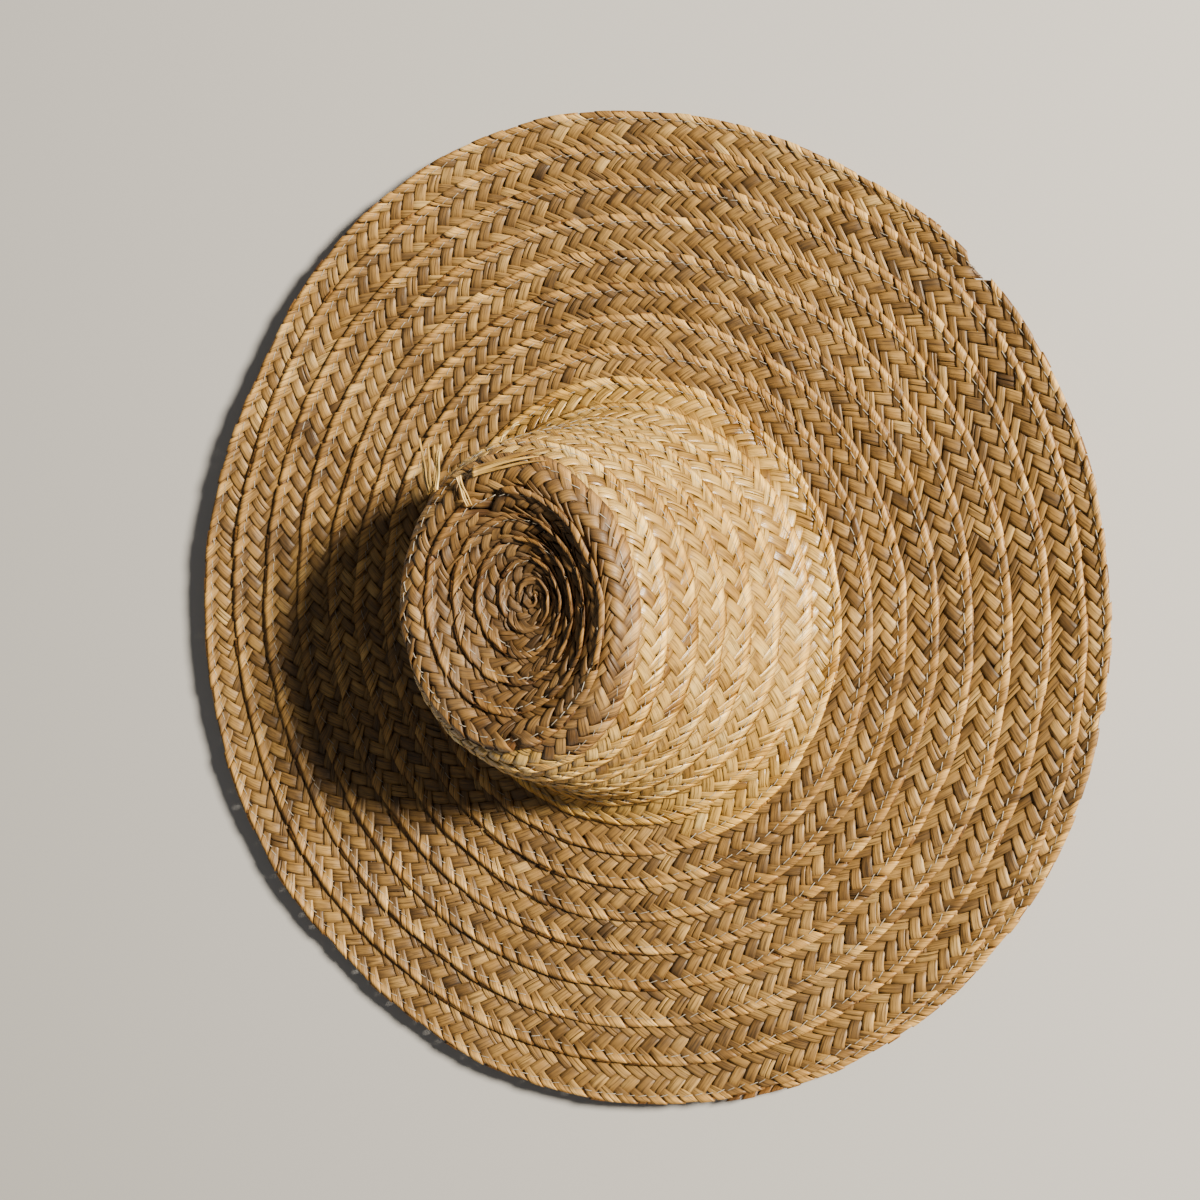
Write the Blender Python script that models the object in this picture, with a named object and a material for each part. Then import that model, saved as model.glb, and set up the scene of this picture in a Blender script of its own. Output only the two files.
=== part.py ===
"""A straw sombrero: one long plaited palm braid, sewn in an overlapping spiral.

The braid starts as a small coil in the middle of the crown's sunken tip, climbs over the
crown's rim, runs down the crown's wall and spreads into the brim.  Each turn of the spiral
lies on top of the next turn outwards, like shingles, and a thin thread holds the overlap.
Metres, +Z along the crown, the brim down, the origin at the middle of the footprint.

A place on the hat is given by two numbers.  q counts the turns of the spiral inwards from
the braid's outer end, and theta is the angle around the hat.  The braid itself is followed
by b, the same count taken at the braid's outer edge.
"""
import math

import bmesh
import bpy
import numpy as np

# --- driving dimensions -------------------------------------------------------------
EDGE_RADIUS = 0.2627          # the spiral's radius where the count of turns starts
ROW_PITCH = 0.0181            # how much of the braid a turn shows, on average
BRAID_WIDTH = 0.0245          # the whole braid, hidden part included
BRAID_THICKNESS = 0.0020      # three layers of flattened straw
GAP = 0.0003                  # between pieces that touch
ROW_STEP = BRAID_THICKNESS + GAP
TIP_STEP = 0.0040             # the tip's turns stand further apart, as proud ridges
TIP_STEP_TURNS = (14.8, 16.4) # the turns over which one step grows into the other
TURN_WIDTH = BRAID_WIDTH / ROW_PITCH
FOOT_HEIGHT = 0.0030          # the middle of the braid above the table, where the hat stands

BRIM_TURNS = 8
WALL_TURNS = 7
TIP_TURNS = 6
ALL_TURNS = BRIM_TURNS + WALL_TURNS + TIP_TURNS
SEGMENTS = 32                 # facets in one turn
LAST_CURVED_TURN = 17         # from the foot of the wall to here, turns bend across their width
BRAID_END = math.radians(-75.0)

# The pitch of the turns, and the slope of the hat's meridian going inwards, by turn count.
PITCH_TURNS = (0.0, 0.9, 1.5, 4.0, 5.0, 8.5, 9.5, 15.4, 16.5, 19.0, 21.8)
PITCH_SIZES = (0.0145, 0.0160, 0.0190, 0.0190, 0.0174, 0.0164, 0.0181, 0.0181, 0.0138, 0.0108, 0.0088)
SLOPE_TURNS = (0.0, 3.5, 7.1, 8.4, 8.9, 9.5, 10.3, 11.5, 12.8, 13.8, 15.2, 15.7, 16.1, 16.6, 18.2, 22.0)
SLOPE_DEGREES = (-8.0, -5.0, -0.5, 2.0, 28.0, 54.0, 71.0, 79.0, 79.0, 75.0, 66.0, 44.0, 4.0, -22.0, -14.0, -3.0)
INTEGRATION_STEP = 1 / 64

# The crown is a little oval and leans; the brim waves and its edge swells in and out.
WALL_START = 8.8
RIM_TURN = 15.9
CROWN_OVAL = 0.055
TIP_TILT = math.radians(9.0)
TIP_SHIFT = (-0.0085, 0.008)
BRIM_SHIFT = (-0.0036, -0.0018)  # centres the footprint on the origin
COIL_SHIFT = (0.0085, 0.0055)   # and how far the coil's start lies off the middle of the tip
EDGE_SWELLS = ((90.0, 38.0, -0.0060), (60.0, 14.0, -0.0040), (104.0, 12.0, 0.0045), (153.0, 18.0, -0.0048),
               (-176.0, 24.0, -0.0050))
EDGE_WAVES = ((2, 40.0, 0.0030), (3, -70.0, 0.0022))
EDGE_DROOP = (-42.0, 26.0, -0.0040)
END_TUCK_TURNS = 0.50         # over this last stretch the braid is tucked under the turn before it
END_TUCK = 0.62
STEP_TURN = 0.179             # where the edge steps in a little, and by how much
STEP_SIZE = 0.08
EDGE_FLARE = 0.15             # the last turn shows a little more of the braid
EDGE_TUCKS = ((148.0, 26.0, 0.40), (232.0, 14.0, 0.22), (106.0, 6.0, 0.12))  # and less of it here

# The flat foot under the first brim turn, which the hat stands on when it is put down.
FOOT_OUTER = 7.98
FOOT_INNER = 8.33
FOOT_SPAN = 0.60

# A torn place in the crown's rim, and a frayed notch in the brim's edge.
TEAR_ANGLE = 98.0
TEAR_TURN = 16
NOTCH_ANGLE = 41.0
DAMAGE_HALF_WIDTH = 6.0

SEAM_INSET = 0.14             # the sewing thread runs this far inside the braid's outer edge
THREAD_RADIUS = 0.00045
THREAD_SIDES = 3

STRAW = (0.62, 0.44, 0.22)
STRAW_PALE = (0.72, 0.54, 0.30)
STRAW_DARK = (0.50, 0.33, 0.15)
THREAD_COLOUR = (0.62, 0.60, 0.56)


# --- the hat's surface --------------------------------------------------------------
def integrate_meridian():
    """Follow the slope inwards from the edge; returns turn counts, radii and heights."""
    counts = [0.0]
    radii = [EDGE_RADIUS]
    heights = [0.0]
    while radii[-1] > 0.0008:
        q = counts[-1]
        pitch = np.interp(q, PITCH_TURNS, PITCH_SIZES)
        slope = math.radians(np.interp(q, SLOPE_TURNS, SLOPE_DEGREES))
        counts.append(q + INTEGRATION_STEP)
        radii.append(radii[-1] - pitch * INTEGRATION_STEP * math.cos(slope))
        heights.append(heights[-1] + pitch * INTEGRATION_STEP * math.sin(slope))
    lowest = min(heights)
    return counts, radii, [h - lowest + FOOT_HEIGHT for h in heights]


MERIDIAN = integrate_meridian()
LAST_TURN = MERIDIAN[0][-1]


def bump(angle, centre, half_width):
    """A smooth bell over the angle, in degrees."""
    away = (angle - centre + 180.0) % 360.0 - 180.0
    return math.exp(-(away / half_width) ** 2)


def ease(value):
    value = min(max(value, 0.0), 1.0)
    return value * value * (3.0 - 2.0 * value)


def surface_point(q, theta):
    """The middle of the straw at turn count q and angle theta."""
    radius = np.interp(q, MERIDIAN[0], MERIDIAN[1])
    height = np.interp(q, MERIDIAN[0], MERIDIAN[2])
    degrees = math.degrees(theta)
    outward = min(max(1.0 - q / WALL_START, 0.0), 1.0)
    upward = ease((q - WALL_START) / (RIM_TURN - WALL_START))
    radius += outward * sum(size * bump(degrees, at, wide) for at, wide, size in EDGE_SWELLS)
    height += outward ** 2 * sum(
        size * math.cos(lobes * theta + math.radians(turned)) for lobes, turned, size in EDGE_WAVES
    )
    droop_at, droop_wide, droop_size = EDGE_DROOP
    height += outward ** 3 * droop_size * bump(degrees, droop_at, droop_wide)
    oval = CROWN_OVAL * (0.4 * (1.0 - outward) + 0.6 * upward)
    x = radius * (1.0 - oval) * math.cos(theta)
    y = radius * (1.0 + oval) * math.sin(theta)
    height += upward * math.tan(TIP_TILT) * x
    x += upward * TIP_SHIFT[0] + BRIM_SHIFT[0]
    y += (0.3 * (1.0 - outward) + 0.7 * upward) * TIP_SHIFT[1] + BRIM_SHIFT[1]
    centred = ease((q - RIM_TURN) / (LAST_TURN - RIM_TURN))
    x += centred * COIL_SHIFT[0]
    y += centred * COIL_SHIFT[1]
    return np.array((x, y, height))


def surface_normal(q, theta):
    """Out of the crown and up from the brim."""
    inner = min(q + 0.02, LAST_TURN)
    outer = max(q - 0.02, 0.0)
    inwards = surface_point(inner, theta) - surface_point(outer, theta)
    around = surface_point(q, theta + 0.01) - surface_point(q, theta - 0.01)
    normal = np.cross(around, inwards)
    return normal / np.linalg.norm(normal)


def layer_step(q):
    """How far one turn of the braid lies above the turn under it."""
    first, last = TIP_STEP_TURNS
    return ROW_STEP + (TIP_STEP - ROW_STEP) * ease((q - first) / (last - first))


def braid_angle(b):
    """The spiral runs outwards clockwise, seen from the crown's side."""
    return BRAID_END + 2.0 * math.pi * b


def place(b, q, above):
    """A point of the turn that passes count b: at count q, and this far above its middle."""
    theta = braid_angle(b)
    q = min(q, LAST_TURN - 0.03)
    lift = layer_step(q) * (b - q + 0.5 * TURN_WIDTH)
    return surface_point(q, theta) + (lift + above) * surface_normal(q, theta)


# --- the braid ----------------------------------------------------------------------
def end_tuck(b):
    """At its outer end the braid slips inwards under the turn before it."""
    tuck = END_TUCK * max(1.0 - b / END_TUCK_TURNS, 0.0)
    if b < STEP_TURN:
        tuck += STEP_SIZE
    if b < 1.0:
        degrees = math.degrees(braid_angle(b))
        tuck += sum(size * bump(degrees, at, wide) for at, wide, size in EDGE_TUCKS)
    return tuck - EDGE_FLARE * ease(b / 0.4) * ease((1.2 - b) / 0.3)


def near(b, degrees):
    """True where the braid passes the damaged angle."""
    away = (math.degrees(braid_angle(b)) - degrees + 180.0) % 360.0 - 180.0
    return abs(away) < DAMAGE_HALF_WIDTH


def braid_edges(b, turn):
    """Turn counts of the braid's outer and inner edge, with the damage cut away."""
    outer = b + end_tuck(b)
    inner = outer + TURN_WIDTH
    if turn == 0 and near(b, NOTCH_ANGLE):
        outer += 0.26
    if turn == TEAR_TURN and near(b, TEAR_ANGLE):
        outer += 0.34
    if turn == TEAR_TURN - 1 and near(b, TEAR_ANGLE):
        inner -= 0.42
    return outer, inner


def is_curved(turn):
    """Turns that bend across their width: at the foot of the crown's wall and over its rim."""
    return BRIM_TURNS - 1 <= turn <= LAST_CURVED_TURN


def braid_corners(b, turn):
    """The braid's cross-section as two rows of points, along its top and its underside."""
    outer, inner = braid_edges(b, turn)
    overlap = TURN_WIDTH - 1.0
    counts = [outer, inner]
    if is_curved(turn):
        counts = [outer, min(outer + overlap, inner - 0.2), min(outer + 1.0, inner - 0.1), inner]
    half = 0.5 * BRAID_THICKNESS
    if turn == BRIM_TURNS - 1:
        counts = [outer, outer + overlap, outer + 0.7, outer + 1.0, inner]
    top = [place(b, q, half) for q in counts]
    under = [place(b, q, -half) for q in counts]
    if turn == BRIM_TURNS - 1:
        under = flat_foot(b, turn, counts)
    return top, under


def flat_foot(b, turn, counts):
    """The underside of the turn that the hat stands on, with a band pressed flat on the table."""
    half = 0.5 * BRAID_THICKNESS
    first = max(FOOT_OUTER, counts[1] + 0.02)
    second = max(FOOT_INNER, first + 0.15)
    points = [place(b, q, -half) for q in (counts[0], counts[1], first, second, counts[4])]
    if b - turn <= FOOT_SPAN:
        points[2][2] = 0.0
        points[3][2] = 0.0
    return points


def turn_counts(turn):
    """Stations along one turn, a hair short of its neighbours at both ends."""
    radius = np.interp(turn + 0.5, MERIDIAN[0], MERIDIAN[1])
    trim = 0.5 * GAP / (2.0 * math.pi * radius)
    return np.linspace(turn + trim, turn + 1 - trim, SEGMENTS + 1)


def braid_turn(name, turn, material):
    """One full turn of the braid as a closed strip."""
    loops = []
    for b in turn_counts(turn):
        top, under = braid_corners(b, turn)
        loops.append(top + under[::-1])
    return strip(name, loops, material)


def strip(name, loops, material):
    """Bridge equal loops of points into one closed body, capped with quads or one polygon."""
    mesh = bmesh.new()
    rings = [[mesh.verts.new(point) for point in loop] for loop in loops]
    count = len(rings[0])
    for near_ring, far_ring in zip(rings, rings[1:]):
        for i in range(count):
            j = (i + 1) % count
            mesh.faces.new((near_ring[i], near_ring[j], far_ring[j], far_ring[i]))
    for ring in (rings[0], rings[-1]):
        cap(mesh, ring)
    bmesh.ops.recalc_face_normals(mesh, faces=mesh.faces)
    data = bpy.data.meshes.new(name)
    mesh.to_mesh(data)
    mesh.free()
    data.shade_smooth()
    data.set_sharp_from_angle(angle=math.radians(35.0))
    data.materials.append(material)
    piece = bpy.data.objects.new(name, data)
    bpy.context.scene.collection.objects.link(piece)
    return piece


def cap(mesh, ring):
    """Close one end; a wide section is closed with a quad between each pair of points."""
    count = len(ring)
    if count < 6:
        mesh.faces.new(ring)
        return
    for i in range(count // 2 - 1):
        mesh.faces.new((ring[i], ring[i + 1], ring[count - 2 - i], ring[count - 1 - i]))


# --- the sewing thread --------------------------------------------------------------
def seam_thread(name, first, last, material):
    """The thread along the overlap, from turn first up to turn last."""
    loops = []
    for turn in range(first, last):
        for b in turn_counts(turn):
            loops.append(thread_loop(b))
    return strip(name, loops, material)


def thread_loop(b):
    """The thread's cross-section, resting on the braid's top between two of its corners."""
    outer = b + end_tuck(b)
    half = 0.5 * BRAID_THICKNESS
    overlap = TURN_WIDTH - 1.0
    edge = place(b, outer, half)
    side = edge - place(b, outer + overlap, half)
    share = SEAM_INSET / overlap
    side /= np.linalg.norm(side)
    out = surface_normal(outer + SEAM_INSET, braid_angle(b))
    middle = (1.0 - share) * edge + share * place(b, outer + overlap, half)
    middle += (GAP + THREAD_RADIUS) * out
    points = []
    for i in range(THREAD_SIDES):
        angle = 2.0 * math.pi * i / THREAD_SIDES + 0.5 * math.pi
        points.append(middle + THREAD_RADIUS * (math.sin(angle) * out + math.cos(angle) * side))
    return points


# --- loose straws at the tear -------------------------------------------------------
LOOSE_STRAWS = {
    # name: (angle, turn count, height) of the start and the end, then bow and width
    "loose_straw_long": ((104.0, 15.95, 0.0060), (66.0, 15.25, 0.0085), 0.0040, 0.0042),
    "loose_straw_upright": ((131.0, 15.55, 0.0050), (123.0, 14.55, 0.0270), 0.0020, 0.0050),
    "loose_straw_split": ((127.0, 15.75, 0.0050), (117.0, 14.75, 0.0200), 0.0010, 0.0028),
    "loose_straw_short": ((112.0, 15.90, 0.0060), (112.0, 16.95, 0.0060), 0.0010, 0.0030),
    "loose_scrap": ((97.0, 14.9, 0.0050), (88.0, 14.7, 0.0110), 0.0015, 0.0034),
}
STRAW_THICKNESS = 0.0006
STRAW_STATIONS = 7


def rim_point(place_on_rim):
    degrees, q, above = place_on_rim
    theta = math.radians(degrees)
    return surface_point(q, theta) + above * surface_normal(q, theta)


def loose_straw(name, start, end, bow, width, material):
    """A thin flat straw that has sprung loose, as a bent strip."""
    first = rim_point(start)
    last = rim_point(end)
    along = (last - first) / np.linalg.norm(last - first)
    out = surface_normal(start[1], math.radians(start[0]))
    side = np.cross(along, out)
    side /= np.linalg.norm(side)
    up = np.cross(side, along)
    loops = []
    for i in range(STRAW_STATIONS):
        t = i / (STRAW_STATIONS - 1)
        middle = first + t * (last - first) + 4.0 * bow * t * (1.0 - t) * up
        half = 0.5 * width * (1.0 - 0.75 * t ** 3) * side
        rise = 0.5 * STRAW_THICKNESS * up
        loops.append([middle - half - rise, middle + half - rise, middle + half + rise, middle - half + rise])
    return strip(name, loops, material)


# --- assembly -----------------------------------------------------------------------
def plain_material(name, colour, roughness):
    material = bpy.data.materials.new(name)
    material.use_nodes = True
    shader = material.node_tree.nodes["Principled BSDF"]
    shader.inputs["Base Color"].default_value = (*colour, 1.0)
    shader.inputs["Roughness"].default_value = roughness
    shader.inputs["Metallic"].default_value = 0.0
    return material


def turn_name(turn):
    """Turns are numbered outwards from the crown's middle, within the tip, wall and brim."""
    if turn < BRIM_TURNS:
        return f"brim_turn_{BRIM_TURNS - turn}"
    if turn < BRIM_TURNS + WALL_TURNS:
        return f"wall_turn_{BRIM_TURNS + WALL_TURNS - turn}"
    if turn < ALL_TURNS - 1:
        return f"tip_turn_{ALL_TURNS - turn}"
    return "tip_coil_start"


def main():
    for item in list(bpy.data.objects):
        bpy.data.objects.remove(item, do_unlink=True)
    shades = (STRAW, STRAW_PALE, STRAW_DARK)
    for turn in range(ALL_TURNS):
        name = turn_name(turn)
        braid_turn(name, turn, plain_material(f"straw_{name}", shades[turn % 3], 0.7))
    wall = BRIM_TURNS + WALL_TURNS
    seams = {
        "seam_thread_brim": (0, BRIM_TURNS),
        "seam_thread_wall": (BRIM_TURNS, wall),
        "seam_thread_tip": (wall, ALL_TURNS - 1),
    }
    for name, (first, last) in seams.items():
        seam_thread(name, first, last, plain_material(name, THREAD_COLOUR, 0.5))
    for name, (start, finish, bow, width) in LOOSE_STRAWS.items():
        loose_straw(name, start, finish, bow, width, plain_material(name, STRAW_PALE, 0.6))


main()
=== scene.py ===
import math

import bpy
import numpy as np
from mathutils import Matrix, Vector


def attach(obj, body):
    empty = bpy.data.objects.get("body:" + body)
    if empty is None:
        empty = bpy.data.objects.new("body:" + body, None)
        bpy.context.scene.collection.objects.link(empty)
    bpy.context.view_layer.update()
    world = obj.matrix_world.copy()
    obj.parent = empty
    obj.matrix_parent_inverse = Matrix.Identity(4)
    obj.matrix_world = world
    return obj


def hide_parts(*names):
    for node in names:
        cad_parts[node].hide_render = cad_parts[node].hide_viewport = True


# A straw sombrero.  Every turn of the sewn spiral is plaited here straw by straw, in a
# two-over, two-under twill of seven straws, on the surface that the CAD turns lie on.

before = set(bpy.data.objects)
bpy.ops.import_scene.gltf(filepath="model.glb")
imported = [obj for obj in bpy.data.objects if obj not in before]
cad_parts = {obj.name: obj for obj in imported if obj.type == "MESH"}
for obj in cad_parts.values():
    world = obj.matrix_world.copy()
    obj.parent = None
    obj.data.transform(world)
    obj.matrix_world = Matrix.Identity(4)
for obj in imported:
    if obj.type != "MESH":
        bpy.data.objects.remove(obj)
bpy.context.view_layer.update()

# --- the hat's surface, the same formulas as the CAD model's -------------------------
EDGE_RADIUS = 0.2627
ROW_PITCH = 0.0181
BRAID_WIDTH = 0.0245
ROW_STEP = 0.0023
TIP_STEP = 0.0040
TURN_WIDTH = BRAID_WIDTH / ROW_PITCH
FOOT_HEIGHT = 0.0030
BRIM_TURNS = 8
WALL_TURNS = 7
TIP_TURNS = 6
ALL_TURNS = BRIM_TURNS + WALL_TURNS + TIP_TURNS
BRAID_END = math.radians(-75.0)

PITCH_TURNS = (0.0, 0.9, 1.5, 4.0, 5.0, 8.5, 9.5, 15.4, 16.5, 19.0, 21.8)
PITCH_SIZES = (0.0145, 0.0160, 0.0190, 0.0190, 0.0174, 0.0164, 0.0181, 0.0181, 0.0138, 0.0108, 0.0088)
SLOPE_TURNS = (0.0, 3.5, 7.1, 8.4, 8.9, 9.5, 10.3, 11.5, 12.8, 13.8, 15.2, 15.7, 16.1, 16.6, 18.2, 22.0)
SLOPE_DEGREES = (-8.0, -5.0, -0.5, 2.0, 28.0, 54.0, 71.0, 79.0, 79.0, 75.0, 66.0, 44.0, 4.0,
                 -22.0, -14.0, -3.0)
INTEGRATION_STEP = 1 / 64

WALL_START = 8.8
RIM_TURN = 15.9
CROWN_OVAL = 0.055
TIP_TILT = math.radians(9.0)
TIP_SHIFT = (-0.0085, 0.008)
BRIM_SHIFT = (-0.0036, -0.0018)
COIL_SHIFT = (0.0085, 0.0055)   # how far the coil's start lies off the middle of the tip
EDGE_SWELLS = ((90.0, 38.0, -0.0060), (60.0, 14.0, -0.0040), (104.0, 12.0, 0.0045), (153.0, 18.0, -0.0048),
               (-176.0, 24.0, -0.0050))
EDGE_WAVES = ((2, 40.0, 0.0030), (3, -70.0, 0.0022))
EDGE_DROOP = (-42.0, 26.0, -0.0040)
END_TUCK_TURNS = 0.50
END_TUCK = 0.62
STEP_TURN = 0.179
STEP_SIZE = 0.08
EDGE_FLARE = 0.15
EDGE_TUCKS = ((148.0, 26.0, 0.40), (232.0, 14.0, 0.22), (106.0, 6.0, 0.12))
TIP_STEP_TURNS = (14.8, 16.4)
COIL_RADIUS = 0.0008          # the spiral is followed inwards until it is this small
COIL_MARGIN = 0.03            # and nothing is placed in its last bit, in turn counts


def integrate_meridian():
    """Follow the slope inwards from the edge; returns turn counts, radii and heights."""
    counts = [0.0]
    radii = [EDGE_RADIUS]
    heights = [0.0]
    while radii[-1] > COIL_RADIUS:
        q = counts[-1]
        pitch = np.interp(q, PITCH_TURNS, PITCH_SIZES)
        slope = math.radians(np.interp(q, SLOPE_TURNS, SLOPE_DEGREES))
        counts.append(q + INTEGRATION_STEP)
        radii.append(radii[-1] - pitch * INTEGRATION_STEP * math.cos(slope))
        heights.append(heights[-1] + pitch * INTEGRATION_STEP * math.sin(slope))
    lowest = min(heights)
    return np.array(counts), np.array(radii), np.array(heights) - lowest + FOOT_HEIGHT


COUNTS, RADII, HEIGHTS = integrate_meridian()
LAST_TURN = COUNTS[-1]


def bump(angle, centre, half_width):
    away = (angle - centre + 180.0) % 360.0 - 180.0
    return np.exp(-(away / half_width) ** 2)


def ease(value):
    value = np.clip(value, 0.0, 1.0)
    return value * value * (3.0 - 2.0 * value)


def between(b, start_and_length):
    """Rises smoothly from 0 to 1 from a start, over a length of turn counts."""
    start, length = start_and_length
    return ease((b - start) / length)


def surface_point(q, theta):
    """The middle of the straw at turn count q and angle theta, for arrays of both."""
    radius = np.interp(q, COUNTS, RADII)
    height = np.interp(q, COUNTS, HEIGHTS)
    degrees = np.degrees(theta)
    outward = np.clip(1.0 - q / WALL_START, 0.0, 1.0)
    upward = ease((q - WALL_START) / (RIM_TURN - WALL_START))
    for at, wide, size in EDGE_SWELLS:
        radius = radius + outward * size * bump(degrees, at, wide)
    for lobes, turned, size in EDGE_WAVES:
        height = height + outward ** 2 * size * np.cos(lobes * theta + math.radians(turned))
    droop_at, droop_wide, droop_size = EDGE_DROOP
    height = height + outward ** 3 * droop_size * bump(degrees, droop_at, droop_wide)
    oval = CROWN_OVAL * (0.4 * (1.0 - outward) + 0.6 * upward)
    x = radius * (1.0 - oval) * np.cos(theta)
    y = radius * (1.0 + oval) * np.sin(theta)
    height = height + upward * math.tan(TIP_TILT) * x
    x = x + upward * TIP_SHIFT[0] + BRIM_SHIFT[0]
    y = y + (0.3 * (1.0 - outward) + 0.7 * upward) * TIP_SHIFT[1] + BRIM_SHIFT[1]
    centred = ease((q - RIM_TURN) / (LAST_TURN - RIM_TURN))
    x = x + centred * COIL_SHIFT[0]
    y = y + centred * COIL_SHIFT[1]
    return np.stack((x, y, height), axis=-1)


def surface_normal(q, theta):
    inner = np.minimum(q + 0.02, LAST_TURN)
    outer = np.maximum(q - 0.02, 0.0)
    inwards = surface_point(inner, theta) - surface_point(outer, theta)
    around = surface_point(q, theta + 0.01) - surface_point(q, theta - 0.01)
    normal = np.cross(around, inwards)
    return normal / np.linalg.norm(normal, axis=-1, keepdims=True)


ON_FLOOR = 0.00005            # no straw goes lower: the foot is pressed flat
TIP_FLATTER = 0.45            # the tip's straws lie this much flatter than the CAD's strips
TIP_FLATTER_TURNS = (15.2, 0.8)      # from where, and over how many turn counts it sets in


def layer_step(q):
    first, last = TIP_STEP_TURNS
    return ROW_STEP + (TIP_STEP - ROW_STEP) * ease((q - first) / (last - first))


def braid_angle(b):
    return BRAID_END + 2.0 * math.pi * b


def place(b, q, above):
    """Points of the turn passing count b: at count q, and this far above its middle."""
    q = np.clip(q, 0.0, LAST_TURN - COIL_MARGIN)
    theta = braid_angle(b)
    flatter = 1.0 - TIP_FLATTER * between(b, TIP_FLATTER_TURNS)
    lift = flatter * layer_step(q) * (b - q + 0.5 * TURN_WIDTH)
    points = surface_point(q, theta) + (lift + above)[..., None] * surface_normal(q, theta)
    points[..., 2] = np.maximum(points[..., 2], ON_FLOOR)
    return points


def end_tuck(b):
    tuck = END_TUCK * np.clip(1.0 - b / END_TUCK_TURNS, 0.0, 2.0)
    tuck = tuck + STEP_SIZE * (b < STEP_TURN)
    degrees = np.degrees(braid_angle(b))
    for at, wide, size in EDGE_TUCKS:
        tuck = tuck + size * bump(degrees, at, wide) * (b < 1.0)
    return tuck - EDGE_FLARE * between(b, (0.0, 0.4)) * ease((1.2 - b) / 0.3)


# --- the plait ------------------------------------------------------------------------
# Along the braid u counts crossings; across it v runs from 0, the outer edge, to 7, the
# inner edge.  Straws of the first way go outwards as u grows, those of the second inwards.
CROSSINGS = 7                 # as many crossings across as there are straws
CROSSING = 0.0043             # metres of braid for one crossing
COLUMN_ENDS = (0.0, 1.5, 3.5, 5.5, 7.0)
COLUMN_PLACES = (0.0, 0.0063, 0.0134, 0.0205, 0.0268)
EDGE_COLUMN = 0.0040          # metres for one crossing past the edges, where the folds roll out
PLAIT_WIDTH = COLUMN_PLACES[-1]
WIDEST = 1.50                 # the braid is no wider than this many times the spacing of its turns
SIDES = (-1.0, 1.0)           # which way along the braid each way's straws run inwards
LEANS = (1.25, 0.75)          # and how far they go along it for one crossing across
STRAW_RUN = 0.0052            # metres of straw for one crossing
STRAW_WIDE = 0.0031           # metres across a straw for one crossing
STRAW_THICKNESS = 0.00046
LAYER = 0.00056               # from the braid's middle to the middle of one layer of straws
CHANGE = 0.20                 # how quickly a straw passes from over to under, in crossings
FLOATS_END = (1.5, 3.5, 5.5)  # where the first way's straws change: over, under, over, under
STATIONS = 18
ROLL = 0.12                   # how far the folded edge rolls out past the last crossing
ROLL_SPREAD = (0.2, 3.2)      # and how many times that, from straw to straw
ROLL_SPAN = 0.45              # the fold takes up this many crossings
SPLIT_SHARE = 0.11            # of the straws are split lengthwise
SPLIT_HALF_GAP = 0.05         # half the gap in a split straw, in half-widths of the straw
SPLIT_LIFT = 0.00012          # and how far one half of it stands off the other
DOMING = 0.00026              # how much lower a straw's edges are than its middle
FOLD_TURN = 0.00014           # how far a straw is turned up where it comes out of the fold
PIECE_PASSES = 60             # passes of all the straws, after which they count as spliced
TONES = 4000                  # colour values kept for each strand


TABLE_ROWS = 9000
TABLE_MARGIN = 0.3            # turn counts that the table goes on past both ends
BRAID_MIDDLE = 0.45           # from a turn's outer edge to its middle, in turn counts


def crossing_counts():
    """Crossings counted along the whole spiral, as a table against turn count b."""
    b = np.linspace(-TABLE_MARGIN, ALL_TURNS + TABLE_MARGIN, TABLE_ROWS)
    radius = np.interp(b + BRAID_MIDDLE, COUNTS, RADII)
    per_turn = 2.0 * math.pi * np.maximum(radius, 0.003) / CROSSING
    u = np.concatenate(([0.0], np.cumsum(0.5 * (per_turn[1:] + per_turn[:-1]) * np.diff(b))))
    return b, u - np.interp(0.0, b, u)


TABLE_B, TABLE_U = crossing_counts()


def count_at(u):
    return np.interp(u, TABLE_U, TABLE_B)


def crossing_at(b):
    return float(np.interp(b, TABLE_B, TABLE_U))


def over_under(x):
    """+1 where the first way's straw lies over, -1 where it lies under."""
    level = np.ones_like(x)
    sign = -2.0
    for end in FLOATS_END:
        level = level + sign * 0.5 * (1.0 + np.tanh((x - end) / CHANGE))
        sign = -sign
    return level


def float_bulge(x):
    """How far along its float a point is: 0 at both ends, 1 in the middle."""
    starts = np.array((-0.5, 1.5, 3.5, 5.5))
    ends = np.array((1.5, 3.5, 5.5, 7.5))
    index = np.clip(np.searchsorted(starts, x, side="right") - 1, 0, 3)
    share = (x - starts[index]) / (ends[index] - starts[index])
    return np.sin(math.pi * np.clip(share, 0.0, 1.0))


# Smooth hills across a row, each with its height, its place and its half width in crossings.
FOLD_HILL = (0.00100, 0.20, 0.28)
THREAD_VALLEY = (-0.00060, 0.95, 0.36)
MIDDLE_HILL = (0.00040, 3.0, 1.3)
# The hand's unevenness along the braid: size, waves around a turn (and across), and phase.
WOBBLES = ((0.020, 4.3, 1.0), (0.016, 9.7, 2.2), (0.010, 23.1, 0.0))
UNEVENNESS = ((0.00022, 6.7, 0.4, 0.0), (0.00016, 17.3, 0.9, 1.3))
WALL_RELIEF = 0.36            # how much flatter the plait is on the wall
WALL_FOLD = 0.85              # and how much flatter its folded edges are
UNTIDY_TIP = 2.6              # how many times looser again the tip's straws lie


def hill(v, shape):
    height, middle, half_width = shape
    return height * np.exp(-((v - middle) / half_width) ** 2)


def on_wall(b):
    """1 on the crown's tightly stretched wall, 0 on the brim and the tip."""
    return ease((b - 8.3) / 0.8) * ease((14.4 - b) / 0.8)


def relief(b):
    """How strongly the plait stands out: flatter on the crown's stretched wall."""
    return 1.0 - WALL_RELIEF * on_wall(b)


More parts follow.
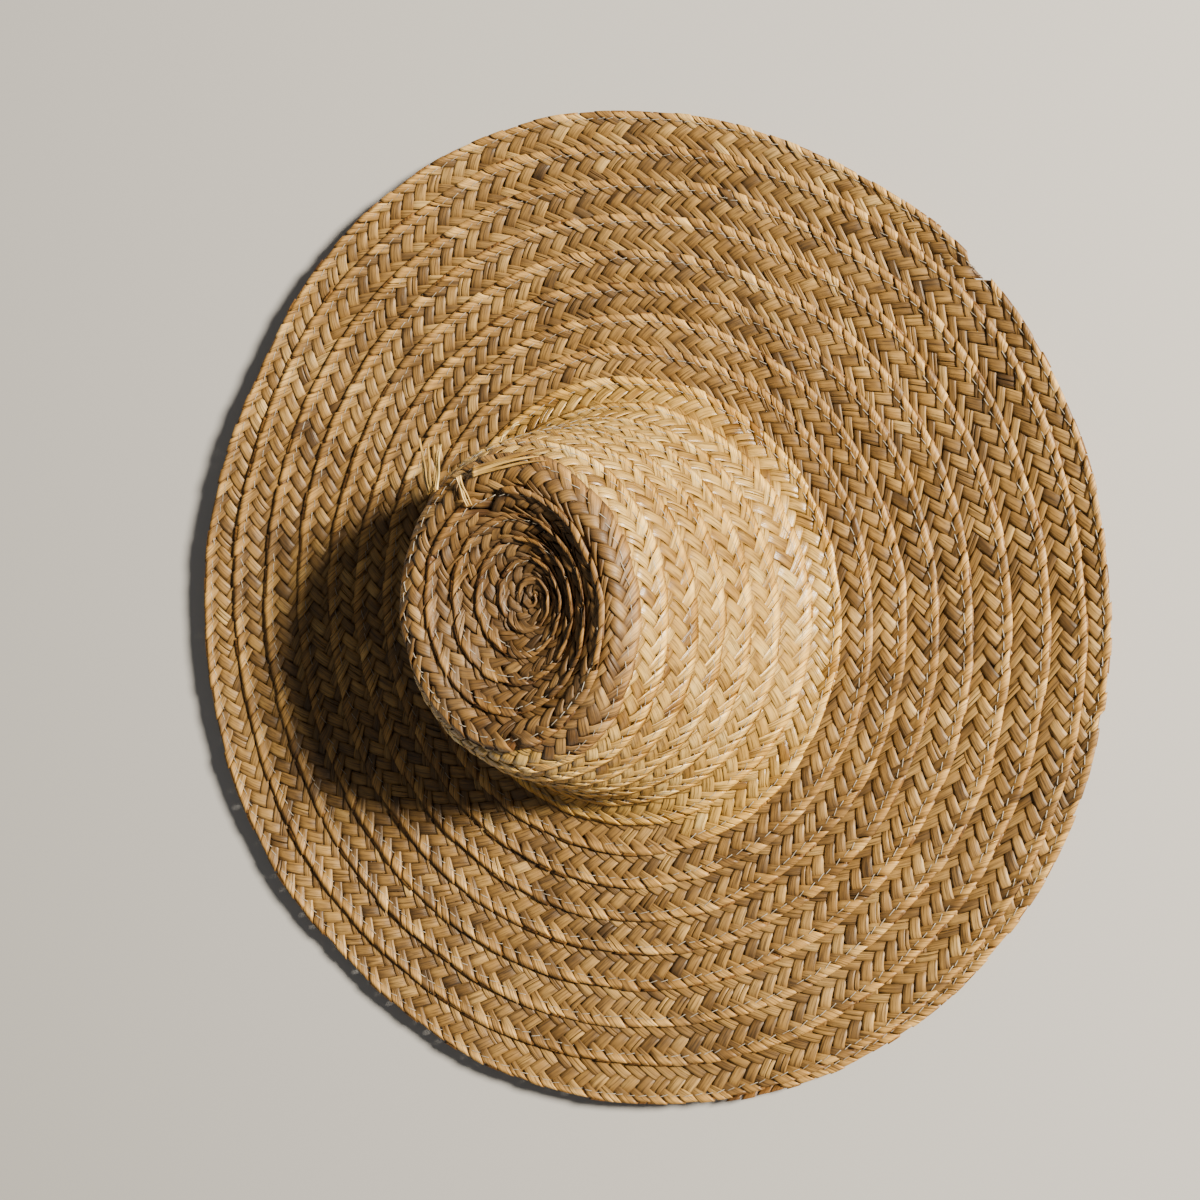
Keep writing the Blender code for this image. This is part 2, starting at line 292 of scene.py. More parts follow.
def untidy(b):
    """How many times looser the straws lie: the worn tip is the untidiest part."""
    return 1.0 + UNTIDY_TIP * between(b, (14.6, 1.5))


def ridge_profile(v, b):
    """The row's own shape across: a raised folded edge, and a valley under the thread."""
    at_edge = hill(v, FOLD_HILL) + hill(v, THREAD_VALLEY)
    return (1.0 - WALL_FOLD * on_wall(b)) * at_edge + hill(v, MIDDLE_HILL)


def wobble(b):
    """Small unevenness of the hand-sewn rows, in turn counts."""
    turns = 2.0 * math.pi * b
    moved = 0.0
    for size, times, turned in WOBBLES:
        moved = moved + size * np.sin(times * turns + turned)
    return moved


def unevenness(b, v):
    """Small unevenness in height of the hand-sewn rows."""
    turns = 2.0 * math.pi * b
    raised = 0.0
    for size, times, across, turned in UNEVENNESS:
        raised = raised + size * np.sin(times * turns + across * v + turned)
    return raised


def count_across(b, v):
    """The turn count q of the place v crossings across the braid that passes count b."""
    inside = np.clip(v, 0.0, CROSSINGS)
    metres = np.interp(inside, COLUMN_ENDS, COLUMN_PLACES) + (v - inside) * EDGE_COLUMN
    pitch = np.interp(b + 0.5, PITCH_TURNS, PITCH_SIZES)
    return b + end_tuck(b) + wobble(b) + metres * np.minimum(1.0 / pitch, WIDEST / PLAIT_WIDTH)


CROSS_POINTS = np.array((-1.0, -0.5, 0.0, 0.5, 1.0))


class Straws:
    """Random traits of the passes that the straws of one way make in one turn."""

    def __init__(self, count, seed):
        draw = np.random.RandomState(seed)
        self.width = draw.uniform(0.90, 1.04, count)
        self.fold = ROLL * draw.uniform(*ROLL_SPREAD, count)
        self.lean = draw.normal(0.0, 0.030, count)
        self.lift = draw.normal(0.0, 0.00008, count)
        self.bulge = draw.uniform(0.00016, 0.00046, count)
        self.grooves = draw.normal(0.0, 0.00006, (count, len(CROSS_POINTS)))
        self.tone = draw.normal(0.0, 1.0, count)
        self.twist = draw.normal(0.0, 0.00010, count)
        self.split = draw.uniform(0.0, 1.0, count)
        self.split_at = draw.uniform(-0.45, 0.45, count)


def straw_tones(marks, seed):
    """The colour value that a straw keeps along its zigzag, until it is spliced."""
    draw = np.random.RandomState(seed)
    strand = np.mod(marks, CROSSINGS)
    piece = (marks // PIECE_PASSES + strand * 3).astype(int)
    table = draw.normal(0.0, 1.0, (CROSSINGS, TONES))
    return table[strand.astype(int), piece % TONES]


def per_straw(values):
    """One value for each straw, shaped to go with grids of (pass, station, point across)."""
    return values[:, None, None]


def both_sides(grid):
    """Values for the points around a straw, from values for the points across it."""
    return np.concatenate((grid, grid[:, :, ::-1]), axis=2)


def plait_pass(marks, way, straws, index, edges, v_range):
    """One pass of each straw across the braid, as grids of (pass, station, point across).

    marks are the straws' places along the braid where they fold at the outer edge.  Returned
    are u and v, the place x in the weave, the turn count, the height, and over or under.
    """
    v_low, v_high = v_range
    share = np.linspace(0.0, 1.0, STATIONS)[None, :, None]
    v = per_straw(v_low) + per_straw(v_high - v_low) * share
    mess = per_straw(untidy(count_at(marks)))
    e = per_straw(edges[0]) + per_straw(edges[1] - edges[0]) * 0.5 * (CROSS_POINTS + 1.0)
    e = e * per_straw(straws.width[index])
    e = e * np.ones_like(v)
    v = v * np.ones_like(e)
    leaning = mess * per_straw(straws.lean[index]) * (v - 0.5 * CROSSINGS)
    u = per_straw(marks) + SIDES[way] * LEANS[way] * v + e + leaning
    x = v + 0.5 * SIDES[way] * e
    level = over_under(x)
    if way == 1:
        level = -level
    b = count_at(u)
    strength = relief(b)
    rise = LAYER * level * strength
    rise = rise + level * float_bulge(x) * per_straw(straws.bulge[index]) * strength
    rise = rise + mess * per_straw(straws.lift[index])
    rise = rise + straws.grooves[index][:, None, :] * float_bulge(x)
    rise = rise + mess * per_straw(straws.twist[index]) * e
    rise = rise - DOMING * e ** 2
    if way == 0:
        rise = rise + FOLD_TURN * e * np.exp(-(v / 1.6) ** 2)
    return u, v, x, b, rise, level


def rolled_edge(v, rise, v_low, v_high, fold):
    """Brings both ends of every pass to mid-height and out, into the fold at the edges."""
    outer_end = per_straw(v_low < 0.01)
    inner_end = per_straw(v_high > CROSSINGS - 0.01)
    near_outer = np.clip((1.0 - v / ROLL_SPAN), 0.0, 1.0)
    near_inner = np.clip((1.0 - (CROSSINGS - v) / ROLL_SPAN), 0.0, 1.0)
    bend = 1.0 - near_outer ** 2.2 * outer_end - near_inner ** 2.2 * inner_end
    outwards = np.sin(0.5 * math.pi * near_outer) * outer_end
    inwards = np.sin(0.5 * math.pi * near_inner) * inner_end
    return v - per_straw(fold) * (outwards - inwards), rise * np.clip(bend, 0.0, 1.0)


def closed_straws(top, under):
    """Vertices and faces of closed flat straws from grids of points on both sides."""
    count, stations, points = top.shape[:3]
    ring = np.concatenate((top, under[:, :, ::-1]), axis=2)
    around = 2 * points
    vertices = ring.reshape(-1, 3)
    base = np.arange(count)[:, None, None] * stations * around
    here = base + np.arange(stations - 1)[None, :, None] * around
    beyond = here + around
    k = np.arange(around)[None, None, :]
    k_next = (k + 1) % around
    quads = np.stack((here + k, here + k_next, beyond + k_next, beyond + k), axis=-1)
    p = np.arange(points - 1)[None, :]
    back = around - 1 - p
    first = np.arange(count)[:, None] * stations * around
    last = first + (stations - 1) * around
    start_caps = np.stack((first + p + 1, first + p, first + back, first + back - 1), axis=-1)
    end_caps = np.stack((last + p, last + p + 1, last + back - 1, last + back), axis=-1)
    faces = np.concatenate((quads.reshape(-1, 4), start_caps.reshape(-1, 4), end_caps.reshape(-1, 4)))
    return vertices, faces


def mesh_object(name, vertices, faces, attributes, material):
    """A mesh from arrays, with smooth faces and one value of each attribute for each vertex."""
    data = bpy.data.meshes.new(name)
    data.vertices.add(len(vertices))
    data.vertices.foreach_set("co", vertices.astype(np.float32).ravel())
    size = faces.shape[1]
    data.loops.add(faces.size)
    data.loops.foreach_set("vertex_index", faces.astype(np.int32).ravel())
    data.polygons.add(len(faces))
    data.polygons.foreach_set("loop_start", np.arange(0, faces.size, size, dtype=np.int32))
    data.update(calc_edges=True)
    data.validate()
    for label, values in attributes.items():
        if values.ndim == 1:
            layer = data.attributes.new(label, "FLOAT", "POINT")
            layer.data.foreach_set("value", values.astype(np.float32))
        else:
            layer = data.attributes.new(label, "FLOAT_VECTOR", "POINT")
            layer.data.foreach_set("vector", values.astype(np.float32).ravel())
    data.shade_smooth()
    data.materials.append(material)
    piece = bpy.data.objects.new(name, data)
    bpy.context.scene.collection.objects.link(piece)
    return piece


TEAR_ANGLE = 102.0            # degrees around, for the tear in the crown's rim
TEAR_HALF_WIDTH = 9.0
TEAR_TURN = 16
TEAR_CUTS = (4.0, 3.4)        # crossings broken off the turns inside and outside it
NOTCH_ANGLE = 41.0            # and for the notch in the brim's edge
NOTCH_HALF_WIDTH = 1.6
NOTCH_CUT = 2.0
BROKEN_FROM = 0.35            # how strongly damaged a place is before its straws break


def damage(marks, turn, v_low, v_high, seed):
    """Straws broken off at the tear in the rim and at the notch in the brim's edge."""
    draw = np.random.RandomState(seed)
    ragged = draw.uniform(-0.5, 0.5, len(marks))
    middle = np.degrees(braid_angle(count_at(marks)))
    if turn == 0:
        near = bump(middle, NOTCH_ANGLE, NOTCH_HALF_WIDTH)
        v_low = np.where(near > BROKEN_FROM, np.maximum(v_low, (NOTCH_CUT + ragged) * near), v_low)
    near = bump(middle, TEAR_ANGLE, TEAR_HALF_WIDTH)
    if turn == TEAR_TURN:
        cut = np.maximum(v_low, (TEAR_CUTS[0] + ragged) * near)
        v_low = np.where(near > BROKEN_FROM, cut, v_low)
    if turn == TEAR_TURN - 1:
        cut = np.minimum(v_high, CROSSINGS - (TEAR_CUTS[1] + ragged) * near)
        v_high = np.where(near > BROKEN_FROM, cut, v_high)
    return v_low, v_high


def plaited_turn(name, turn, material):
    """All the straws of one turn of the spiral, as closed flat ribbons woven together."""
    start = crossing_at(turn)
    stop = crossing_at(turn + 1)
    parts = []
    offset = 0
    for way in (0, 1):
        shift = -0.5 * CROSSINGS * SIDES[way] * LEANS[way]
        marks = 2.0 * np.arange(math.ceil((start + shift) / 2.0), math.ceil((stop + shift) / 2.0))
        straws = Straws(len(marks), seed=1000 + 2 * turn + way)
        strand_tone = straw_tones(marks / 2.0, 77)
        full = np.ones(len(marks))
        whole = np.nonzero(straws.split >= SPLIT_SHARE)[0]
        split = np.nonzero(straws.split < SPLIT_SHARE)[0]
        pieces = (
            (whole, -full, full),
            (split, -full, straws.split_at - SPLIT_HALF_GAP),
            (split, straws.split_at + SPLIT_HALF_GAP, full),
        )
        for number, (index, low, high) in enumerate(pieces):
            if len(index) == 0:
                continue
            v_low = np.zeros(len(index))
            v_high = np.full(len(index), float(CROSSINGS))
            v_low, v_high = damage(marks[index], turn, v_low, v_high, seed=50 + turn)
            edges = (low[index], high[index])
            u, v, x, b, rise, level = plait_pass(marks[index], way, straws, index, edges, (v_low, v_high))
            if number == 2:
                rise = rise + SPLIT_LIFT * level
            rolled_v, rise = rolled_edge(v, rise, v_low, v_high, straws.fold[index])
            q = count_across(b, rolled_v)
            profile = ridge_profile(v, b) + unevenness(b, v)
            half = 0.5 * STRAW_THICKNESS * (1.0 - 0.5 * np.abs(CROSS_POINTS) ** 3)
            top = place(b, q, rise + profile + half)
            under = place(b, q, rise + profile - half)
            vertices, faces = closed_straws(top, under)
            if way == 1:
                faces = faces[:, ::-1]
            tone = per_straw(0.62 * strand_tone[index] + 0.55 * straws.tone[index]) * np.ones_like(u)
            across = u - per_straw(marks[index]) - SIDES[way] * LEANS[way] * v
            own_place = per_straw(marks[index] * 0.37 + way * 51.3) + np.zeros_like(u)
            fibre = np.stack((v * STRAW_RUN, across * STRAW_WIDE, own_place), axis=-1)
            # Painted shade: the material darkens a straw where it lies under another and at the ends of
            # each float, where it dives under and the shade falls.
            covered = 0.5 - 0.5 * level
            painted_shade = np.maximum(covered, (1.0 - float_bulge(x)) ** 2 * 0.7)
            parts.append((
                vertices,
                faces + offset,
                both_sides(tone).ravel(),
                both_sides(fibre).reshape(-1, 3),
                both_sides(painted_shade).ravel(),
            ))
            offset += len(vertices)
    vertices, faces, tone, fibre, painted_shade = (np.concatenate(values) for values in zip(*parts))
    attributes = {"tone": tone, "fibre": fibre, "painted_shade": painted_shade}
    return mesh_object(name, vertices, faces, attributes, material)


# --- the sewing thread ---------------------------------------------------------------
STITCH = 1.40                 # crossings from one stitch to the next
STITCHES_KEPT = 0.95          # a few have come out
STITCH_ACROSS = 0.86          # crossings in from the folded edge
STITCH_HIGH = 0.00120         # how far the thread's middle lies above the braid's
STITCH_DIVE = 0.00135         # and how far it goes down again at a stitch's ends
THREAD_RADIUS = 0.00020
THREAD_SIDES = 5
THREAD_STATIONS = 7


def stitch_paths(first, last, seed):
    """Middle lines of the stitches between two turn counts, one every STITCH crossings."""
    draw = np.random.RandomState(seed)
    u = np.arange(crossing_at(first) + 1.0, crossing_at(last) - 2.0, STITCH)
    u = u + draw.normal(0.0, 0.10, len(u))
    u = u[draw.uniform(0.0, 1.0, len(u)) < STITCHES_KEPT]
    t = np.linspace(-1.0, 1.0, THREAD_STATIONS)[None, :]
    length = draw.uniform(0.54, 0.68, len(u))[:, None]
    slant = draw.normal(0.13, 0.06, len(u))[:, None]
    v = STITCH_ACROSS + draw.normal(0.0, 0.05, len(u))[:, None] + slant * t
    along = u[:, None] + length * t
    high = STITCH_HIGH - STITCH_DIVE * np.abs(t) ** 10.0
    return along, v, high + np.zeros_like(along)


def stitches(name, first, last, seed, material):
    """The thread as short stitches that come up through the braid and go down again."""
    u, v, high = stitch_paths(first, last, seed)
    b = count_at(u)
    q = count_across(b, v)
    middle = place(b, q, high * relief(b) + ridge_profile(v, b) + unevenness(b, v))
    along = np.gradient(middle, axis=1)
    along /= np.linalg.norm(along, axis=-1, keepdims=True)
    up = surface_normal(np.clip(q, 0.0, LAST_TURN - COIL_MARGIN), braid_angle(b))
    side = np.cross(along, up)
    side /= np.linalg.norm(side, axis=-1, keepdims=True)
    up = np.cross(side, along)
    angle = 2.0 * math.pi * np.arange(THREAD_SIDES) / THREAD_SIDES
    ring = middle[:, :, None, :] + THREAD_RADIUS * (
        np.cos(angle)[None, None, :, None] * side[:, :, None, :]
        + np.sin(angle)[None, None, :, None] * up[:, :, None, :]
    )
    vertices, faces = closed_tubes(ring)
    return mesh_object(name, vertices, faces, {}, material)


def closed_tubes(ring):
    """Triangles of round tubes, closed at both ends with a point in the middle."""
    count, stations, around = ring.shape[:3]
    ends = np.stack((ring[:, 0].mean(axis=1), ring[:, -1].mean(axis=1)), axis=1)
    body = ring.reshape(count, -1, 3)
    vertices = np.concatenate((body, ends), axis=1)
    size = vertices.shape[1]
    base = np.arange(count)[:, None, None] * size
    s = np.arange(stations - 1)[None, :, None] * around
    k = np.arange(around)[None, None, :]
    k_next = (k + 1) % around
    a, c = base + s + k, base + s + k_next
    d, e = c + around, a + around
    lower = np.stack((a, c, d), -1).reshape(-1, 3)
    upper = np.stack((a, d, e), -1).reshape(-1, 3)
    base = base[:, 0]
    k, k_next = k[0], k_next[0]
    far = (stations - 1) * around
    first = np.stack((base + k_next, base + k, base + size - 2 + 0 * k), -1).reshape(-1, 3)
    last = np.stack((base + far + k, base + far + k_next, base + size - 1 + 0 * k), -1).reshape(-1, 3)
    return vertices.reshape(-1, 3), np.concatenate((lower, upper, first, last))


# --- loose straws at the tear --------------------------------------------------------
# Where each starts and ends, as degrees around, turn count and height above the hat's
# surface; then how far it bows up, and how wide it is.
LOOSE_STRAWS = {
    "loose_straw_long": ((104.0, 15.95, 0.0060), (66.0, 15.25, 0.0085), 0.0026, 0.0062),
    "loose_straw_upright": ((131.0, 15.55, 0.0050), (123.0, 14.55, 0.0270), 0.0008, 0.0070),
    "loose_straw_split": ((127.0, 15.75, 0.0050), (117.0, 14.75, 0.0200), 0.0005, 0.0046),
    "loose_straw_short": ((112.0, 15.90, 0.0060), (112.0, 16.95, 0.0060), 0.0010, 0.0030),
    "loose_scrap": ((97.0, 14.9, 0.0050), (88.0, 14.7, 0.0110), 0.0015, 0.0034),
}
LOOSE_STATIONS = 26
LOOSE_POINTS = 7
LOOSE_HALF_THICKNESS = 0.00022
LOOSE_CURL = 0.00035          # how much lower a splinter's edges are than its middle
LANES = (-1.0, 0.0, 1.0)      # the splinters of one loose straw, side by side
SCRAP_TONE = 2.5              # the bleached scrap is paler than the other splinters


def rim_point(degrees, q, above):
    """A point at an angle and a turn count, this far above the hat's surface."""
    theta = np.array(math.radians(degrees))
    q = np.array(q)
    return surface_point(q, theta) + above * surface_normal(q, theta)


def loose_straw(name, start, end, bow, width, material):
    """A straw that has sprung loose, as three thin splinters, curled across and tapering."""
    first = rim_point(*start)
    last = rim_point(*end)
    along = (last - first) / np.linalg.norm(last - first)
    out = surface_normal(np.array(start[1]), np.array(math.radians(start[0])))
    side = np.cross(along, out)
    side /= np.linalg.norm(side)
    up = np.cross(side, along)
    t = np.linspace(0.0, 1.0, LOOSE_STATIONS)[None, :, None]
    e = np.linspace(-1.0, 1.0, LOOSE_POINTS)[None, None, :]
    draw = np.random.RandomState(len(name))
    grids = []
    for lane in LANES:
        reach = draw.uniform(0.72, 1.0)
        half = width / 6.0 * draw.uniform(0.75, 1.15) * (1.0 - 0.85 * t ** 3)
        fan = lane * width * (0.30 + draw.uniform(0.0, 0.5) * t ** 2)
        lifted = 4.0 * bow * t * (1.0 - t) + draw.uniform(-0.0012, 0.0022) * t ** 2
        wave = 0.00030 * np.sin(9.0 * t + draw.uniform(0.0, 6.0))
        middle = first + reach * t[..., None] * (last - first)
        middle = middle + (lifted + wave)[..., None] * up + fan[..., None] * side
        curl = -LOOSE_CURL * e ** 2 * (1.0 - 0.5 * t)
        grids.append((middle + (half * e)[..., None] * side + curl[..., None] * up)[0])
    grid = np.stack(grids)
    thick = (LOOSE_HALF_THICKNESS * (1.0 - 0.6 * np.abs(e) ** 3) + 0.0 * t)[..., None] * up
    vertices, faces = closed_straws(grid + thick, grid - thick)
    pale = SCRAP_TONE if name.endswith("scrap") else 0.0
    tone = np.repeat(draw.normal(0.6, 0.9, len(LANES)) + pale, 2 * LOOSE_STATIONS * LOOSE_POINTS)
    along_fibre = t * np.linalg.norm(last - first) + 0.0 * e
    across_fibre = width / 6.0 * e + 0.0 * t
    fibre = both_sides(np.stack((along_fibre, across_fibre, 7.0 + 0.0 * (t + e)), -1))
    own_places = [fibre + np.array((0.0, 0.0, 3.1 * number)) for number in range(len(LANES))]
    fibre = np.concatenate(own_places).reshape(-1, 3)
    values = {"tone": tone, "fibre": fibre, "painted_shade": np.zeros(len(tone))}
    return mesh_object(name, vertices, faces, values, material)


# --- materials -------------------------------------------------------------------------
def node(tree, kind, **settings):
    made = tree.nodes.new(kind)
    for key, value in settings.items():
        setattr(made, key, value)
    return made


def ramp(tree, stops):
    made = node(tree, "ShaderNodeValToRGB")
    elements = made.color_ramp.elements
    while len(elements) < len(stops):
        elements.new(0.5)
    for element, (position, colour) in zip(elements, stops):
        element.position = position
        element.color = (*colour, 1.0)
    return made


def mix_colour(tree, kind, factor, first, second):
    made = node(tree, "ShaderNodeMix", data_type="RGBA", blend_type=kind)
    for socket, value in ((made.inputs[0], factor), (made.inputs[6], first), (made.inputs[7], second)):
        if hasattr(value, "links"):
            tree.links.new(value, socket)
        else:
            socket.default_value = value
    return made.outputs[2]


def noise(tree, vector, scale, detail=3.0, roughness=0.5):
    made = node(tree, "ShaderNodeTexNoise")
    tree.links.new(vector, made.inputs["Vector"])
    made.inputs["Scale"].default_value = scale
    made.inputs["Detail"].default_value = detail
    made.inputs["Roughness"].default_value = roughness
    return made.outputs["Fac"]


def stretched(tree, vector, scale):
    made = node(tree, "ShaderNodeMapping")
    tree.links.new(vector, made.inputs["Vector"])
    made.inputs["Scale"].default_value = scale
    return made.outputs["Vector"]


def math_node(tree, operation, first, second):
    made = node(tree, "ShaderNodeMath", operation=operation)
    for socket, value in zip(made.inputs, (first, second)):
        if hasattr(value, "links"):
            tree.links.new(value, socket)
        else:
            socket.default_value = value
    return made.outputs[0]


EDGE_HIGHLIGHT_WIDTH = 1.1              # crossings in from the folded edge that are painted paler, a painted highlight
EDGE_HIGHLIGHT_RAMP = ((0.40, (1.62, 1.60, 1.56)), (0.85, (1.0, 1.0, 1.0)))
STREAK_RAMP = ((0.37, (0.34, 0.31, 0.27)), (0.49, (1.0, 1.0, 1.0)), (0.64, (1.30, 1.28, 1.20)))
DUST_RAMP = ((0.42, (0.0, 0.0, 0.0)), (0.72, (1.0, 1.0, 1.0)))
DUST_COLOUR = (0.21, 0.155, 0.090, 1.0)
# the colour that the painted shade under and between the straws darkens towards
PAINTED_SHADE_COLOUR = (0.30, 0.20, 0.11, 1.0)
TONE_SHARE = 0.15             # how strongly each straw's own tone, the patches on the hat and
PATCH_SHARE = 0.55            # the drift along a straw move its place in the colour ramp
DRIFT_SHARE = 0.55
THREAD_RAMP = ((0.30, (0.26, 0.23, 0.19)), (0.55, (0.46, 0.43, 0.37)), (0.80, (0.62, 0.59, 0.52)))


def around_half(tree, value, share):
    """How far a noise value is from its middle, times a share."""
    return math_node(tree, "MULTIPLY", math_node(tree, "SUBTRACT", value, 0.5), share)


def ramped(tree, value, stops):
    made = ramp(tree, stops)
    tree.links.new(value, made.inputs[0])
    return made.outputs[0]


def bumped(tree, shader, height, strength, distance):
    made = node(tree, "ShaderNodeBump")
    made.inputs["Strength"].default_value = strength
    made.inputs["Distance"].default_value = distance
    tree.links.new(height, made.inputs["Height"])
    tree.links.new(made.outputs["Normal"], shader.inputs["Normal"])


def new_material(name):
    """A new material, its node tree and its shader."""
    material = bpy.data.materials.new(name)
    material.use_nodes = True
    return material, material.node_tree, material.node_tree.nodes["Principled BSDF"]


def straw_material(name, stops, dust, roughness):
    """Split palm straw: streaked along its fibres, varied from straw to straw, dusty in places, with
    painted shade where straws lie under others and a painted highlight along the folded edges.
    """
    material, tree, shader = new_material(name)
    tone = node(tree, "ShaderNodeAttribute", attribute_name="tone").outputs["Fac"]
    fibre = node(tree, "ShaderNodeAttribute", attribute_name="fibre").outputs["Vector"]
    painted_shade = node(tree, "ShaderNodeAttribute", attribute_name="painted_shade").outputs["Fac"]
    place_on_hat = node(tree, "ShaderNodeTexCoord").outputs["Object"]
    patches = noise(tree, place_on_hat, 14.0, 4.0)
    drift = noise(tree, stretched(tree, fibre, (90.0, 260.0, 9.0)), 1.0, 2.0)
    streaks = noise(tree, stretched(tree, fibre, (55.0, 1250.0, 11.0)), 1.0, 4.0, 0.6)
    value = math_node(tree, "MULTIPLY_ADD", tone, TONE_SHARE)
    value.node.inputs[2].default_value = 0.5
    value = math_node(tree, "ADD", value, around_half(tree, patches, PATCH_SHARE))
    value = math_node(tree, "ADD", value, around_half(tree, drift, DRIFT_SHARE))
    plain = ramped(tree, value, stops)
    colour = mix_colour(tree, "MULTIPLY", 0.95, plain, ramped(tree, streaks, STREAK_RAMP))
    dusty = ramped(tree, noise(tree, place_on_hat, 33.0, 5.0, 0.65), DUST_RAMP)
    dust_amount = math_node(tree, "MULTIPLY", dusty, dust)
    colour = mix_colour(tree, "MIX", dust_amount, colour, DUST_COLOUR)
    # Painted shade: the straw is darkened where it lies under others and at the ends of its floats.
    painted_shade_amount = math_node(tree, "MULTIPLY", math_node(tree, "POWER", painted_shade, 1.5), 0.80)
    colour = mix_colour(tree, "MULTIPLY", painted_shade_amount, colour, PAINTED_SHADE_COLOUR)
    # Painted highlight: the straw is painted paler near each row's folded edge, where the ridge catches
    # the light.
    along = node(tree, "ShaderNodeSeparateXYZ")
    tree.links.new(fibre, along.inputs[0])
    from_fold = math_node(tree, "MULTIPLY", along.outputs["X"], 1.0 / (EDGE_HIGHLIGHT_WIDTH * STRAW_RUN))
    colour = mix_colour(tree, "MULTIPLY", 1.0, colour, ramped(tree, from_fold, EDGE_HIGHLIGHT_RAMP))
    tree.links.new(colour, shader.inputs["Base Color"])
    rough = math_node(tree, "MULTIPLY_ADD", streaks, -0.22)
    rough.node.inputs[2].default_value = roughness + 0.11
    tree.links.new(rough, shader.inputs["Roughness"])
    shader.inputs["Specular IOR Level"].default_value = 0.75
    bumped(tree, shader, streaks, 1.0, 0.00030)
    return material


def thread_material(name):
    material, tree, shader = new_material(name)
    place_on_hat = node(tree, "ShaderNodeTexCoord").outputs["Object"]
    colour = ramped(tree, noise(tree, place_on_hat, 160.0, 3.0), THREAD_RAMP)
    tree.links.new(colour, shader.inputs["Base Color"])
    twist = node(tree, "ShaderNodeTexWave")
    tree.links.new(place_on_hat, twist.inputs["Vector"])
    twist.inputs["Scale"].default_value = 900.0
    bumped(tree, shader, twist.outputs["Fac"], 0.4, 0.0001)
    shader.inputs["Roughness"].default_value = 0.42
    return material


STRAW_STOPS = ((0.05, (0.055, 0.028, 0.009)), (0.30, (0.155, 0.085, 0.024)), (0.50, (0.29, 0.165, 0.046)),
               (0.70, (0.43, 0.265, 0.082)), (0.95, (0.60, 0.415, 0.155)))
# The wall's ramp is paler and more golden than the brim's: painted light for the stronger light on the
# crown's wall.
WALL_STOPS = ((0.05, (0.12, 0.052, 0.009)), (0.30, (0.33, 0.185, 0.042)), (0.50, (0.52, 0.325, 0.082)),
              (0.70, (0.66, 0.445, 0.135)), (0.95, (0.80, 0.62, 0.26)))
# The tip's ramp is darker than the brim's: partly painted shade for the dimmer light on the sunken tip,
# partly its own darker, dusty straw.
TIP_STOPS = ((0.05, (0.030, 0.013, 0.003)), (0.30, (0.095, 0.046, 0.010)), (0.50, (0.175, 0.091, 0.022)),
             (0.70, (0.27, 0.152, 0.042)), (0.95, (0.42, 0.265, 0.092)))


# --- the stage ---------------------------------------------------------------------------
CAMERA_AT = (0.5935, 0.0726, 1.3020)
CAMERA_BACK = (0.42585, 0.04728, 0.90356)
CAMERA_UP = (0.0, 1.0, -0.0523)
LENS = 84.0
KEY_RISE = 36.5               # degrees of the main light above the floor
KEY_TURNED = 16.0             # and round from the hat's right-hand side
KEY_AWAY = 3.0
KEY_AIM = (0.0, 0.0, 0.05)
KEY_SIZE = 0.50
KEY_POWER = 275.1
KEY_COLOUR = (1.0, 0.87, 0.68)
WORLD_COLOUR = (1.0, 0.93, 0.84, 1.0)
WORLD_STRENGTH = 0.12
FLOOR_COLOUR = (0.60, 0.62, 0.65, 1.0)
FLOOR_REACH = 20.0


def make_camera():
    camera = bpy.data.objects.new("camera", bpy.data.cameras.new("camera"))
    camera.data.lens = LENS
    camera.data.sensor_width = 36.0
    back = Vector(CAMERA_BACK).normalized()
    right = Vector(CAMERA_UP).cross(back).normalized()
    up = back.cross(right)
    turned = Matrix((right, up, back)).transposed()
    camera.matrix_world = Matrix.Translation(CAMERA_AT) @ turned.to_4x4()
    bpy.context.scene.collection.objects.link(camera)
    bpy.context.scene.camera = camera


def area_light(name, place_at, aim, size, power, colour):
    light = bpy.data.objects.new(name, bpy.data.lights.new(name, "AREA"))
    light.data.shape = "DISK"
    light.data.size = size
    light.data.energy = power
    light.data.color = colour
    light.location = place_at
    away = Vector(aim) - Vector(place_at)
    light.rotation_euler = away.to_track_quat("-Z", "Y").to_euler()
    bpy.context.scene.collection.objects.link(light)


def make_floor():
    data = bpy.data.meshes.new("floor")
    corners = [(x * FLOOR_REACH, y * FLOOR_REACH, 0.0) for x, y in ((-1, -1), (1, -1), (1, 1), (-1, 1))]
    data.from_pydata(corners, [], [(0, 1, 2, 3)])
    material, _, shader = new_material("floor_pale")
    shader.inputs["Base Color"].default_value = FLOOR_COLOUR
    shader.inputs["Roughness"].default_value = 0.9
    data.materials.append(material)
    floor = bpy.data.objects.new("floor", data)
    bpy.context.scene.collection.objects.link(floor)


